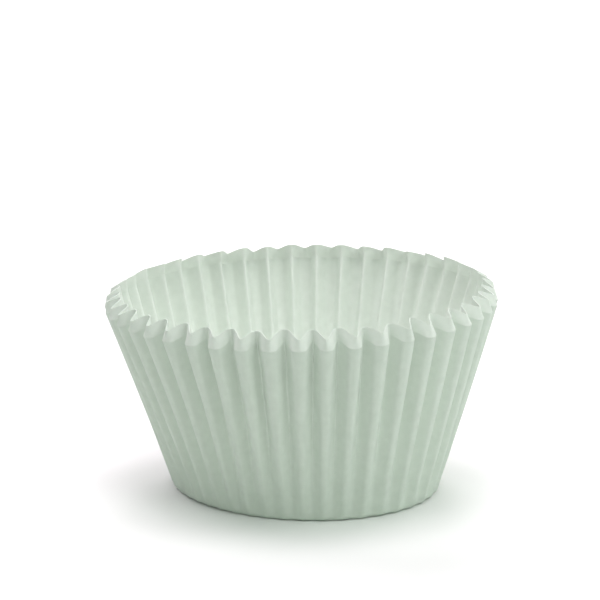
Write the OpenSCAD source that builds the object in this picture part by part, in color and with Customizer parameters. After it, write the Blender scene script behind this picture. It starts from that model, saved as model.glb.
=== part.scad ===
// Cupcake liner: one disc of thin paper pressed into a pleated cup.
// Millimetres, +Z up. The origin is the centre of the underside of the base.

/* [Cup] */
// Outside diameter of the base, measured where the wall's line meets the floor
base_d = 51; // [40:0.5:60]
// Outside diameter at the crease, over the outer crests
crease_d = 75.4; // [66:0.2:100]
// Height of the crease above the floor, at the outer crests
crease_h = 35.8; // [20:0.2:60]
// Outside radius of the turn from the base into the wall
turn_r = 1.2; // [0.8:0.1:5]
// Thickness of the paper
paper_t = 0.1; // [0.08:0.01:0.2]

/* [Pleats] */
// Number of pleats round the wall
pleat_count = 44; // [30:2:60]
// Shape of a pleat's section, from a soft wave to a sharp zigzag
pleat_sharpness = 0.9; // [0.5:0.05:0.95]
// Broad part of an outer fold at the crease, as a share of the pleat
fold_land = 0.3; // [0:0.05:0.6]

/* [Lip] */
// Height of the lip, measured along the paper from the crease to the edge
lip_h = 2.3; // [1:0.1:4]
// How far the lip leans in at the outer crests
lip_lean = 0.5; // [0:0.1:0.9]
// How far the lip leans out at the inner crests
lip_spread = 0.2; // [0:0.1:0.9]
// How much narrower the outer folds are than the inner ones at the cut edge
edge_fold = 1.5; // [1:0.1:3]

/* [Hidden] */
paper_colour = [0.85, 0.89, 0.84];

// Facets of the section of one pleat, in degrees of its wave, and how far
// their ends crowd towards its crests
wave_facet = 60;
crest_crowding = 0.8;
// Facets up the turn, in degrees, and up the straight wall, in length
turn_facet = 24;
wall_facet = 12.5;

base_r = base_d / 2;
crease_r = crease_d / 2;
// Angle of the wall from upright
wall_lean = atan((crease_r - base_r) / crease_h);
// Angle that the paper turns through, and the radius where it leaves the floor
turn_angle = 90 - wall_lean;
flat_r = base_r - turn_r * tan(turn_angle / 2);
turn_top_h = turn_r * (1 - cos(turn_angle));
turn_length = turn_r * turn_angle * PI / 180;
wall_length = (crease_h - turn_top_h) / cos(wall_lean);

pleat_points = 2 * ceil(180 / wave_facet);
around = pleat_count * pleat_points;
turn_steps = ceil(turn_angle / turn_facet);
wall_steps = ceil(wall_length / wall_facet);
stations = turn_steps + wall_steps + 1;
crease_station = stations - 1;

// Length of paper from the edge of the flat base to a station
function paper_length(k) = k <= turn_steps
    ? turn_length * k / turn_steps
    : turn_length + wall_length * (k - turn_steps) / wall_steps;

// Radius and height of the outer crests at a station
function turn_point(angle) = [
    flat_r + turn_r * sin(angle),
    turn_r * (1 - cos(angle))
];
function outer_crest(k) = k <= turn_steps
    ? turn_point(turn_angle * k / turn_steps)
    : turn_point(turn_angle)
        + (paper_length(k) - turn_length) * [sin(wall_lean), cos(wall_lean)];

// Broad part of the outer folds at a station: none at the base, all of it at
// the crease
function land(k) = fold_land * paper_length(k) / paper_length(crease_station);

// The flat disc has more paper around a station than the wall has room for:
// the surplus goes into the pleats, and sets their depth
function pleat_depth(k) =
    let (flat = flat_r + paper_length(k))
    let (r = outer_crest(k)[0])
    PI / pleat_count * sqrt(max(0, (flat - r) * (flat + r - 2 * land(k) * r)));

// Radius and height of the inner crests at a station. They take the same
// length of paper as the outer ones, and lean less, so they climb higher
function inner_radius(k) = outer_crest(k)[0] - pleat_depth(k);
function inner_height(k) = k == 0
    ? 0
    : inner_height(k - 1) + sqrt(max(0,
        pow(paper_length(k) - paper_length(k - 1), 2)
        - pow(inner_radius(k) - inner_radius(k - 1), 2)));
function inner_crest(k) = [inner_radius(k), inner_height(k)];

// The two crest lines, with the lip's edge as their last station
outer_line = concat(
    [for (k = [0 : crease_station]) outer_crest(k)],
    [outer_crest(crease_station) + [-lip_lean, sqrt(lip_h * lip_h - lip_lean * lip_lean)]]
);
inner_line = concat(
    [for (k = [0 : crease_station]) inner_crest(k)],
    [inner_crest(crease_station) + [lip_spread, sqrt(lip_h * lip_h - lip_spread * lip_spread)]]
);

// Share of the way from the inner to the outer crest at a phase of the pleat
function pleat_wave(phase) =
    (1 + asin(pleat_sharpness * cos(360 * phase)) / asin(pleat_sharpness)) / 2;
// Phase of a point, with the points crowded towards both crests
function crowded(phase) = phase - crest_crowding * sin(720 * phase) / (4 * PI);
// Phase of a point where the outer folds are broad: the flanks move towards
// the inner crests, and both crests stay where they are
function broadened(i, broad) =
    let (phase = crowded(i / pleat_points))
    let (crest = round(phase))
    i % pleat_points == 0
        ? crest
        : phase + broad * (sign(phase - crest) / 2 - (phase - crest));

// Point of the outer face of the paper, at a point around and a station up.
// The folds are broad at the crease, and narrow again at the cut edge
function outer_point(i, k) =
    let (phase = crowded(i / pleat_points))
    let (at_edge = k > crease_station)
    let (out = at_edge ? pow(pleat_wave(phase), edge_fold) : pleat_wave(phase))
    let (rz = inner_line[k] + out * (outer_line[k] - inner_line[k]))
    let (angle = 360 * broadened(i, at_edge ? 0 : land(k)) / pleat_count)
    [rz[0] * cos(angle), rz[0] * sin(angle), rz[1]];

// Direction that the outer face looks in: square to the paper both ways
function outward(i, k) = k == 0
    ? [0, 0, -1]
    : let (along = outer_point(i + 1, k) - outer_point(i - 1, k))
      let (up = outer_point(i, min(k + 1, stations)) - outer_point(i, k - 1))
      let (square_to = cross(along, up))
      square_to / norm(square_to);

// Two faces of a strip between a ring of points and the next ring up
function strip(low, high) = [
    for (i = [0 : around - 1])
    let (next = (i + 1) % around)
    each [
        [low + i, high + next, low + next],
        [low + i, high + i, high + next]
    ]
];
// Faces of a flat disc round a centre point
function disc(ring, centre) = [
    for (i = [0 : around - 1])
    [ring + i, ring + (i + 1) % around, centre]
];
function flipped(faces) = [for (f = faces) [f[2], f[1], f[0]]];

// The pressed cup: outer skin, inner skin, the cut edge that joins them at
// the top, and both sides of the flat base
module cupcake_liner() {
    rings = stations + 1;
    inner_start = rings * around;
    base_below = 2 * rings * around;
    base_above = base_below + 1;
    outer_skin = [for (k = [0 : stations]) for (i = [0 : around - 1]) outer_point(i, k)];
    inner_skin = [
        for (k = [0 : stations])
        for (i = [0 : around - 1])
        outer_point(i, k) - paper_t * outward(i, k)
    ];
    outer_faces = [for (k = [0 : stations - 1]) each strip(k * around, (k + 1) * around)];
    inner_faces = [
        for (k = [0 : stations - 1])
        each flipped(strip(inner_start + k * around, inner_start + (k + 1) * around))
    ];
    edge_faces = strip(stations * around, inner_start + stations * around);
    base_faces = concat(disc(0, base_below), flipped(disc(inner_start, base_above)));
    color(paper_colour)
    polyhedron(
        points = concat(outer_skin, inner_skin, [[0, 0, 0], [0, 0, paper_t]]),
        faces = concat(outer_faces, inner_faces, edge_faces, base_faces),
        convexity = 10
    );
}

cupcake_liner();
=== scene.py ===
import math

import bpy
import numpy as np
from mathutils import Matrix, Vector


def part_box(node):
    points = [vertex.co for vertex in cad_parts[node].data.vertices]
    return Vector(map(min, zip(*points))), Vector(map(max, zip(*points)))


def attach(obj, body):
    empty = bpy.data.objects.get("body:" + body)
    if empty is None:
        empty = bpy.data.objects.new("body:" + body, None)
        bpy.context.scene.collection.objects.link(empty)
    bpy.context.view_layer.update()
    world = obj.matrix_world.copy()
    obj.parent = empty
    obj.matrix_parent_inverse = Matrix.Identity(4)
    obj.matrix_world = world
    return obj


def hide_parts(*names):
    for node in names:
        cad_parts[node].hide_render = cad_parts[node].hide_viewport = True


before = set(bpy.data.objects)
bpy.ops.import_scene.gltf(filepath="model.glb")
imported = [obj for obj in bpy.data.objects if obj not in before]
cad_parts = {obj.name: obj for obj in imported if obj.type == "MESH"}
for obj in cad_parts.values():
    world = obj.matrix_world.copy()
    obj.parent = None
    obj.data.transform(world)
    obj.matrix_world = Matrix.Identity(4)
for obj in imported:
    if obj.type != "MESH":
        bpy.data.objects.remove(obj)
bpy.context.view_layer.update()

# The looks of a cupcake liner: its paper as a fine closed mesh with the small
# unevenness of pressed pleats, a white floor, soft studio light and the
# camera. Metres, +Z up, the origin under the middle of the flat base.

MM = 0.001
NODE = "cupcake_liner"
liner_low, liner_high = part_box(NODE)

# The cup, with the sizes that the part has
PLEATS = 44
CREASE_R = liner_high.x
CREASE_H = 35.8 * MM
BASE_R = 25.5 * MM
TURN_R = 1.2 * MM
PAPER_T = 0.1 * MM
LIP_H = 2.3 * MM
# How far the lip leans in at the outer crests, and out at the inner ones
LIP_LEAN = 0.5 * MM
INNER_LIP_LEAN = 0.2 * MM
# Broad part of an outer fold at the crease, and how round it is: as in the
# part, it narrows to an even fold at the base
FOLD_LAND = 0.3
CROWN = 0.3
# How much narrower the outer folds are than the inner ones at the cut edge
RIM_FOLD = 1.5

# Fineness of the mesh
POINTS_PER_PLEAT = 24
BASE_RINGS = 5
TURN_RINGS = 7
WALL_RINGS = 20
# Rings close below the crease by distance, and above it by share of the lip
CREASE_RINGS = (0.30 * MM, 0.14 * MM, 0.05 * MM)
LIP_RINGS = (0.03, 0.08, 0.18, 0.45, 0.72, 1.0)
# How far the points crowd towards the inner crests
INNER_CROWDING = 0.3
# Points along the crest lines before the rings are picked from them
LINE_POINTS = 2000

# Unevenness of the pressed paper
SEED = 7
# How far a crest wanders sideways, as a share of a pleat
CREST_DRIFT = 0.028
# How much the crests differ in depth, and their lips in lean and height
CREST_DEPTH_SPREAD = 0.10 * MM
LIP_LEAN_SPREAD = 0.16 * MM
LIP_EDGE_SPREAD = 0.10 * MM
# Sharpness of the folds, from a soft wave at 0 to a zigzag at 1
SHARPNESS_LOW = 0.72
SHARPNESS_HIGH = 0.88
# The rim stands a little higher on the right, and a little to the left
RIM_TILT = 0.45 * MM
RIM_SHIFT = 0.25 * MM
# The base stands slightly oval, longest towards the front right
BASE_OVAL = 0.06
OVAL_AZIMUTH = math.radians(-45)

# The paper's two tints
PAPER_DARK = (0.8, 0.85, 0.795, 1)
PAPER_LIGHT = (0.84, 0.89, 0.835, 1)
# Clouds and fibres in a metre of paper, and the height of the fibres
CLOUD_SCALE = 700
FIBRE_SCALE = 5000
FIBRE_RELIEF = 0.02 * MM
# How far light spreads inside the sheet
LIGHT_SPREAD = 0.15 * MM

# Camera, from the outlines in the photograph, in pixels, metres and radians
IMAGE_PX = 600
SENSOR_MM = 36
FOCAL_PX = 3651.5
CAMERA_AWAY = 678 * MM
CAMERA_UP = 203 * MM
CAMERA_PITCH = 0.241
CAMERA_ROLL = -0.012
CAMERA_AZIMUTH = math.radians(1.0)
PRINCIPAL_X_PX = 2.83

# The floor's colour, as the camera sees it and as it lights the paper
FLOOR_SEEN = (1.0, 1.0, 1.0, 1)
FLOOR_BOUNCE = (0.59, 0.66, 0.595, 1)
# The floor lies a hair under the base, so that the two don't share a plane
FLOOR_BELOW = 0.03 * MM
FLOOR_SIZE = 6
# Light from all round, beside the lamps
AMBIENT = 0.02

# Soft round lamps, all at one distance
LAMP_AWAY = 0.92
LAMP_SIZE = 0.5
COOL = (0.92, 1.0, 0.93)
WARM = (1.0, 0.93, 0.98)
# Name, azimuth from +X and angle above the floor in degrees, watts, colour
LAMPS = (
    ("top", 0, 89, 3.6, WARM),
    ("right", 0, 35, 1.6, COOL),
    ("back_right", 45, 35, 1.7, WARM),
    ("back", 90, 35, 3.3, WARM),
    ("back_left", 135, 45, 2.6, WARM),
    ("left", 205, 40, 0.9, COOL),
    ("front", 270, 62, 1.2, COOL),
    ("front_right", 315, 35, 1.6, COOL),
)


def crest_lines():
    """Radius and height of the outer and the inner crests at each ring up to the crease."""
    lean = math.atan((CREASE_R - BASE_R) / CREASE_H)
    turn = math.pi / 2 - lean
    flat_r = BASE_R - TURN_R * math.tan(turn / 2)
    turn_length = TURN_R * turn
    turn_top = TURN_R * (1 - math.cos(turn))
    wall_length = (CREASE_H - turn_top) / math.cos(lean)
    total = turn_length + wall_length

    def outer_at(s):
        """Radius and height of the outer crests at a length of paper from the flat base."""
        angle = np.minimum(s, turn_length) / TURN_R
        past = np.maximum(0, s - turn_length)
        r = flat_r + TURN_R * np.sin(angle) + past * math.sin(lean)
        z = TURN_R * (1 - np.cos(angle)) + past * math.cos(lean)
        return r, z

    fine = np.linspace(0, total, LINE_POINTS)
    r, _ = outer_at(fine)
    flat = flat_r + fine
    land = FOLD_LAND * fine / total
    depth = math.pi / PLEATS * np.sqrt(np.maximum(0, (flat - r) * (flat + r - 2 * land * r)))
    inner_r = r - depth
    climb = np.sqrt(np.maximum(0, np.diff(fine) ** 2 - np.diff(inner_r) ** 2))
    inner_z = np.concatenate([[0], np.cumsum(climb)])

    up_wall = np.linspace(0, 1, WALL_RINGS, endpoint=False)
    share = np.concatenate([
        np.linspace(0, turn_length, TURN_RINGS, endpoint=False),
        turn_length + up_wall * (wall_length - CREASE_RINGS[0]),
        total - np.array(CREASE_RINGS + (0,)),
    ]) / total
    outer = np.stack(outer_at(share * total), axis=1)
    inner = np.stack([
        np.interp(share * total, fine, inner_r),
        np.interp(share * total, fine, inner_z),
    ], axis=1)
    return flat_r, share, outer, inner


def wave(away, sharpness, land):
    """Share of the way out from the inner crest, at a share away from the outer one."""
    broad = land / (1 - CROWN)
    flank = np.maximum(0, away - broad) / (1 - broad)
    folded = (1 + np.arcsin(sharpness * np.cos(math.pi * flank)) / np.arcsin(sharpness)) / 2
    return (1 - CROWN) * folded + CROWN * (1 + np.cos(math.pi * away)) / 2


def paper_surface():
    """Points of the paper's outer face: one row for each ring, from the base to the edge."""
    random = np.random.default_rng(SEED)
    flat_r, share, outer, inner = crest_lines()

    count = PLEATS * POINTS_PER_PLEAT
    step = np.arange(count) / POINTS_PER_PLEAT
    phase = step + INNER_CROWDING * np.sin(2 * math.pi * step) / (2 * math.pi)
    half = 2 * phase
    below = np.floor(half).astype(int)
    near = half - below

    # One value for each crest, outer at even places and inner at odd ones
    crests = 2 * PLEATS
    drift = random.normal(0, CREST_DRIFT, crests)
    depth_change = random.normal(0, CREST_DEPTH_SPREAD, crests)
    depth_change[0::2] = -np.abs(depth_change[0::2])
    lip_lean = random.normal(0, LIP_LEAN_SPREAD, crests)
    lip_lean[0::2] += LIP_LEAN
    lip_lean[1::2] -= INNER_LIP_LEAN
    lip_edge = LIP_H + random.normal(0, LIP_EDGE_SPREAD, crests)
    sharp = random.uniform(SHARPNESS_LOW, SHARPNESS_HIGH, crests)

    def at_crests(values, w):
        """The nearest inner crest's value where w is 0, and the nearest outer one's where it is 1."""
        first = values[below % crests]
        second = values[(below + 1) % crests]
        outer_value = np.where(below % 2 == 0, first, second)
        inner_value = np.where(below % 2 == 0, second, first)
        return inner_value + w * (outer_value - inner_value)

    sharpness = np.where(near < 0.5, sharp[below % crests], sharp[(below + 1) % crests])
    away = np.where(below % 2 == 0, near, 1 - near)
    w_rim = wave(away, sharpness, 0) ** RIM_FOLD
    centre = 2 * math.pi * phase / PLEATS
    moved = 2 * math.pi * at_crests(drift, 1 - away) / PLEATS

    rings = []

    def place(radius, height, amount):
        """Points of a ring, with its share of the unevenness."""
        angle = centre + moved * amount
        oval = BASE_OVAL * np.cos(2 * (angle - OVAL_AZIMUTH)) * (1 - height / CREASE_H)
        x = radius * (1 + oval) * np.cos(angle)
        y = radius * (1 + oval) * np.sin(angle)
        lift = height + RIM_TILT * (x / CREASE_R) * amount * height / CREASE_H
        return np.stack([x - RIM_SHIFT * amount * height / CREASE_H, y, lift], axis=1)

    for k in range(1, BASE_RINGS):
        rings.append(place(np.full(count, flat_r * k / BASE_RINGS), np.zeros(count), 0.0))
    for k in range(len(share)):
        w = wave(away, sharpness, FOLD_LAND * share[k])
        radius = inner[k, 0] + w * (outer[k, 0] - inner[k, 0])
        radius = radius + at_crests(depth_change, w) * share[k]
        height = inner[k, 1] + w * (outer[k, 1] - inner[k, 1])
        rings.append(place(radius, height, share[k]))
    lean = at_crests(lip_lean, w_rim)
    rise = np.sqrt(at_crests(lip_edge, w_rim) ** 2 - lean ** 2)
    radius = inner[-1, 0] + w_rim * (outer[-1, 0] - inner[-1, 0])
    radius = radius + at_crests(depth_change, w_rim) - lean
    height = inner[-1, 1] + w_rim * (outer[-1, 1] - inner[-1, 1]) + rise
    rim = place(radius, height, 1.0)
    crease = rings[-1]
    for up in LIP_RINGS:
        rings.append(crease + up * (rim - crease))
    return np.array(rings)


def outward(surface):
    """Unit normals of the outer face."""
    along = np.roll(surface, -1, axis=1) - np.roll(surface, 1, axis=1)
    up = np.empty_like(surface)
    up[1:-1] = surface[2:] - surface[:-2]
    up[0] = surface[1] - surface[0]
    up[-1] = surface[-1] - surface[-2]
    normal = np.cross(along, up)
    return normal / np.linalg.norm(normal, axis=2, keepdims=True)


def make_paper(material):
    """The pressed paper as one closed mesh: two skins, the cut edge and the base's two middles."""
    outer_skin = paper_surface()
    rings, count, _ = outer_skin.shape
    inner_skin = outer_skin - PAPER_T * outward(outer_skin)
    # On the base the sheet is flat, so its upper side is straight above
    inner_skin[:BASE_RINGS] = outer_skin[:BASE_RINGS] + [0, 0, PAPER_T]
    points = np.concatenate([
        outer_skin.reshape(-1, 3),
        inner_skin.reshape(-1, 3),
        [[0, 0, 0], [0, 0, PAPER_T]],
    ])
    inner_start = rings * count
    below = 2 * rings * count
    above = below + 1
    faces = []
    for k in range(rings - 1):
        for i in range(count):
            a = k * count + i
            b = k * count + (i + 1) % count
            faces.append((a, b, b + count, a + count))
            a += inner_start
            b += inner_start
            faces.append((a + count, b + count, b, a))
    top = (rings - 1) * count
    for i in range(count):
        j = (i + 1) % count
        faces.append((top + i, top + j, inner_start + top + j, inner_start + top + i))
        faces.append((below, j, i))
        faces.append((above, inner_start + i, inner_start + j))
    mesh = bpy.data.meshes.new("cupcake_liner_paper")
    mesh.from_pydata(points.tolist(), [], faces)
    mesh.validate()
    mesh.shade_smooth()
    # The cut edge meets both skins at a corner
    sharp = mesh.attributes.new("sharp_edge", "BOOLEAN", "EDGE")
    for flag, edge in zip(sharp.data, mesh.edges):
        a, b = edge.vertices
        same_skin = (a < inner_start) == (b < inner_start)
        flag.value = same_skin and min(a % inner_start, b % inner_start) >= top
    mesh.materials.append(material)
    liner = bpy.data.objects.new("cupcake_liner_paper", mesh)
    bpy.context.scene.collection.objects.link(liner)
    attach(liner, "root")
    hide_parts(NODE)


def new_material(name):
    """A node material, with its nodes and links."""
    material = bpy.data.materials.new(name)
    material.use_nodes = True
    return material, material.node_tree.nodes, material.node_tree.links


def paper_material():
    """Matte greaseproof paper: faint cloudy formation, fine fibres, a soft bump."""
    material, nodes, links = new_material("paper")
    shader = nodes["Principled BSDF"]
    coordinates = nodes.new("ShaderNodeTexCoord")

    cloud = nodes.new("ShaderNodeTexNoise")
    cloud.inputs["Scale"].default_value = CLOUD_SCALE
    cloud.inputs["Detail"].default_value = 4
    links.new(coordinates.outputs["Object"], cloud.inputs["Vector"])
    tint = nodes.new("ShaderNodeValToRGB")
    tint.color_ramp.elements[0].position = 0.3
    tint.color_ramp.elements[0].color = PAPER_DARK
    tint.color_ramp.elements[1].position = 0.7
    tint.color_ramp.elements[1].color = PAPER_LIGHT
    links.new(cloud.outputs["Fac"], tint.inputs["Fac"])
    links.new(tint.outputs["Color"], shader.inputs["Base Color"])

    fibre = nodes.new("ShaderNodeTexNoise")
    fibre.inputs["Scale"].default_value = FIBRE_SCALE
    fibre.inputs["Detail"].default_value = 3
    links.new(coordinates.outputs["Object"], fibre.inputs["Vector"])
    bump = nodes.new("ShaderNodeBump")
    bump.inputs["Strength"].default_value = 0.15
    bump.inputs["Distance"].default_value = FIBRE_RELIEF
    links.new(fibre.outputs["Fac"], bump.inputs["Height"])
    links.new(bump.outputs["Normal"], shader.inputs["Normal"])

    shader.inputs["Subsurface Weight"].default_value = 0.6
    shader.inputs["Subsurface Radius"].default_value = (1.0, 1.0, 1.0)
    shader.inputs["Subsurface Scale"].default_value = LIGHT_SPREAD
    shader.inputs["Roughness"].default_value = 0.62
    shader.inputs["Specular IOR Level"].default_value = 0.35
    return material


def shown_or_lit(nodes, links, kind, shown, lit):
    """One value for rays from the camera, a reflection or a clear body, and another for light."""
    path = nodes.new("ShaderNodeLightPath")
    shows = path.outputs["Is Camera Ray"]
    for ray in ("Is Glossy Ray", "Is Transmission Ray"):
        either = nodes.new("ShaderNodeMath")
        either.operation = "MAXIMUM"
        links.new(shows, either.inputs[0])
        links.new(path.outputs[ray], either.inputs[1])
        shows = either.outputs["Value"]
    mix = nodes.new("ShaderNodeMix")
    mix.data_type = kind
    mix.inputs["A"].default_value = lit
    mix.inputs["B"].default_value = shown
    links.new(shows, mix.inputs["Factor"])
    return mix.outputs["Result"]


def make_floor():
    """A wide white floor that keeps the soft shadow and shows as white elsewhere."""
    bpy.ops.mesh.primitive_plane_add(size=FLOOR_SIZE, location=(0, 0, -FLOOR_BELOW))
    floor = bpy.context.object
    floor.name = "floor"
    material, nodes, links = new_material("floor_white")
    nodes.remove(nodes["Principled BSDF"])
    diffuse = nodes.new("ShaderNodeBsdfDiffuse")
    colour = shown_or_lit(nodes, links, "RGBA", FLOOR_SEEN, FLOOR_BOUNCE)
    links.new(colour, diffuse.inputs["Color"])
    links.new(diffuse.outputs["BSDF"], nodes["Material Output"].inputs["Surface"])
    floor.data.materials.append(material)


def make_world():
    """Even pale surroundings, white where the camera sees them."""
    world = bpy.data.worlds.new("studio")
    bpy.context.scene.world = world
    world.use_nodes = True
    nodes = world.node_tree.nodes
    links = world.node_tree.links
    background = nodes["Background"]
    background.inputs["Color"].default_value = (1, 1, 1, 1)
    strength = shown_or_lit(nodes, links, "FLOAT", 1.0, AMBIENT)
    links.new(strength, background.inputs["Strength"])


def make_light(name, azimuth, height, power, colour):
    """A round soft lamp at an azimuth from +X and an angle above the floor."""
    lamp = bpy.data.lights.new(name, "AREA")
    lamp.shape = "DISK"
    lamp.size = LAMP_SIZE
    lamp.energy = power
    lamp.color = colour
    light = bpy.data.objects.new(name, lamp)
    bpy.context.scene.collection.objects.link(light)
    azimuth = math.radians(azimuth)
    height = math.radians(height)
    light.location = LAMP_AWAY * Vector((
        math.cos(height) * math.cos(azimuth),
        math.cos(height) * math.sin(azimuth),
        math.sin(height),
    ))
    light.rotation_mode = "QUATERNION"
    middle = Vector((0, 0, liner_high.z / 2))
    light.rotation_quaternion = (middle - light.location).to_track_quat("-Z", "Y")


def make_camera():
    """The camera at the photograph's angle, turned a little instead of shifted."""
    data = bpy.data.cameras.new("camera")
    camera = bpy.data.objects.new("camera", data)
    bpy.context.scene.collection.objects.link(camera)
    data.sensor_width = SENSOR_MM
    data.lens = FOCAL_PX / IMAGE_PX * data.sensor_width
    data.clip_start = 0.05
    data.clip_end = 20
    yaw = -PRINCIPAL_X_PX / FOCAL_PX
    place = Vector((
        math.sin(CAMERA_AZIMUTH) * CAMERA_AWAY,
        -math.cos(CAMERA_AZIMUTH) * CAMERA_AWAY,
        CAMERA_UP,
    ))
    turn = (
        Matrix.Rotation(CAMERA_AZIMUTH - yaw, 4, "Z")
        @ Matrix.Rotation(math.pi / 2 - CAMERA_PITCH, 4, "X")
        @ Matrix.Rotation(CAMERA_ROLL, 4, "Z")
    )
    camera.matrix_world = Matrix.Translation(place) @ turn
    bpy.context.scene.camera = camera


make_camera()
make_paper(paper_material())
make_floor()
make_world()
for lamp in LAMPS:
    make_light(*lamp)
bpy.context.scene.view_settings.view_transform = "Standard"
